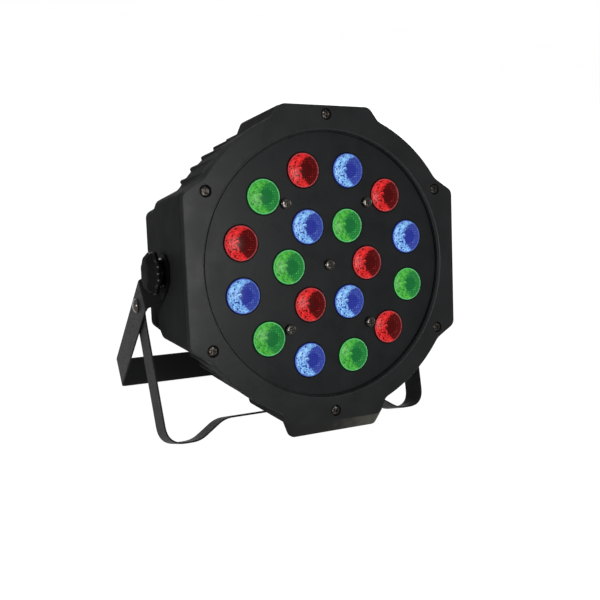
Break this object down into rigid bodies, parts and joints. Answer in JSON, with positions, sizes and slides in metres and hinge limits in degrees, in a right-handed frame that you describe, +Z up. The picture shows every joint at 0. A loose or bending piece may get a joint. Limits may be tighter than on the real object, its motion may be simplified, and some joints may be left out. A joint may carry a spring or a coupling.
{
  "type": "led par light",
  "caption": "Flat stage lamp with beaded red, green and blue lenses in a lobed black head, hung by clamp knobs in a double U bracket that also stands it on the floor.",
  "frame": {"origin": "on the floor, under the middle of the part's box", "axes": "+Z up; the lamp shines towards -Y and up; +X is to the right of someone who looks at its face"},
  "size_m": [0.2008, 0.1392, 0.2056],
  "materials": {
    "bezel_plastic": "matte black with a fine moulded grain",
    "plate_plastic": "matte black",
    "shell_plastic": "matte black with a fine moulded grain",
    "bracket_paint": "black powder coat",
    "knob_plastic": "glossy black",
    "screw_black": "blackened",
    "steel": "zinc plated",
    "brass": "turned",
    "sink_aluminium": "extruded",
    "circuit_board": "solder mask",
    "socket_plastic": "satin black",
    "window_plastic": "smoked red",
    "button_plastic": "satin grey",
    "lens_red": "clear coloured, beaded",
    "lens_green": "clear coloured, beaded",
    "lens_blue": "clear coloured, beaded"
  },
  "bodies": {
    "rear_bracket": {"rear_bracket": "bracket_paint", "hinge_screw_right": "screw_black", "hinge_screw_left": "screw_black", "hinge_nut_right": "steel", "hinge_nut_left": "steel", "washer_right": "steel", "washer_left": "steel"},
    "head": {"front_bezel": "bezel_plastic", "lens_plate": "plate_plastic", "lens_outer_01": "lens_red", "lens_outer_02": "lens_blue", "lens_outer_03": "lens_red", "lens_outer_04": "lens_blue", "lens_outer_05": "lens_green", "lens_outer_06": "lens_red", "lens_outer_07": "lens_green", "lens_outer_08": "lens_blue", "lens_outer_09": "lens_green", "lens_outer_10": "lens_blue", "lens_outer_11": "lens_red", "lens_outer_12": "lens_green", "lens_inner_1": "lens_blue", "lens_inner_2": "lens_green", "lens_inner_3": "lens_red", "lens_inner_4": "lens_blue", "lens_inner_5": "lens_red", "lens_inner_6": "lens_green", "led_board": "circuit_board", "heat_sink": "sink_aluminium", "rear_shell": "shell_plastic", "control_board": "circuit_board", "power_supply": "circuit_board", "display_window": "window_plastic", "power_inlet": "socket_plastic", "signal_input": "socket_plastic", "signal_output": "socket_plastic", "bezel_screw_1": "screw_black", "bezel_screw_2": "screw_black", "bezel_screw_3": "screw_black", "bezel_screw_4": "screw_black", "bezel_screw_5": "screw_black", "bezel_screw_6": "screw_black", "plate_screw_1": "screw_black", "plate_screw_2": "screw_black", "plate_screw_3": "screw_black", "plate_screw_4": "screw_black", "centre_screw": "screw_black", "insert_right": "brass", "insert_left": "brass"},
    "front_bracket": {"front_bracket": "bracket_paint"},
    "knob_right": {"knob_right": "knob_plastic"},
    "knob_left": {"knob_left": "knob_plastic"},
    "menu_button_1": {"menu_button_1": "button_plastic"},
    "menu_button_2": {"menu_button_2": "button_plastic"},
    "menu_button_3": {"menu_button_3": "button_plastic"},
    "menu_button_4": {"menu_button_4": "button_plastic"}
  },
  "joints": [
    {"name": "head_tilt", "type": "hinge", "parent": "rear_bracket", "child": "head", "pos_m": [0, 0.00062, 0.10585], "axis": [-1, 0, 0], "range_deg": [-5, 110]},
    {"name": "front_bracket_swing", "type": "hinge", "parent": "rear_bracket", "child": "front_bracket", "pos_m": [0, 0.02079, 0.07596], "axis": [1, 0, 0], "range_deg": [-1, 46]},
    {"name": "knob_right_turn", "type": "hinge", "parent": "head", "child": "knob_right", "pos_m": [0, 0.00062, 0.10585], "axis": [1, 0, 0], "range_deg": [0, 360]},
    {"name": "knob_left_turn", "type": "hinge", "parent": "head", "child": "knob_left", "pos_m": [0, 0.00062, 0.10585], "axis": [-1, 0, 0], "range_deg": [0, 360]},
    {"name": "menu_button_1_press", "type": "slide", "parent": "head", "child": "menu_button_1", "axis": [0, -0.9319, 0.3628], "range_m": [0, 0.0008], "stiffness_N_per_m": 300, "springref_m": -0.001},
    {"name": "menu_button_2_press", "type": "slide", "parent": "head", "child": "menu_button_2", "axis": [0, -0.9319, 0.3628], "range_m": [0, 0.0008], "stiffness_N_per_m": 300, "springref_m": -0.001},
    {"name": "menu_button_3_press", "type": "slide", "parent": "head", "child": "menu_button_3", "axis": [0, -0.9319, 0.3628], "range_m": [0, 0.0008], "stiffness_N_per_m": 300, "springref_m": -0.001},
    {"name": "menu_button_4_press", "type": "slide", "parent": "head", "child": "menu_button_4", "axis": [0, -0.9319, 0.3628], "range_m": [0, 0.0008], "stiffness_N_per_m": 300, "springref_m": -0.001}
  ]
}
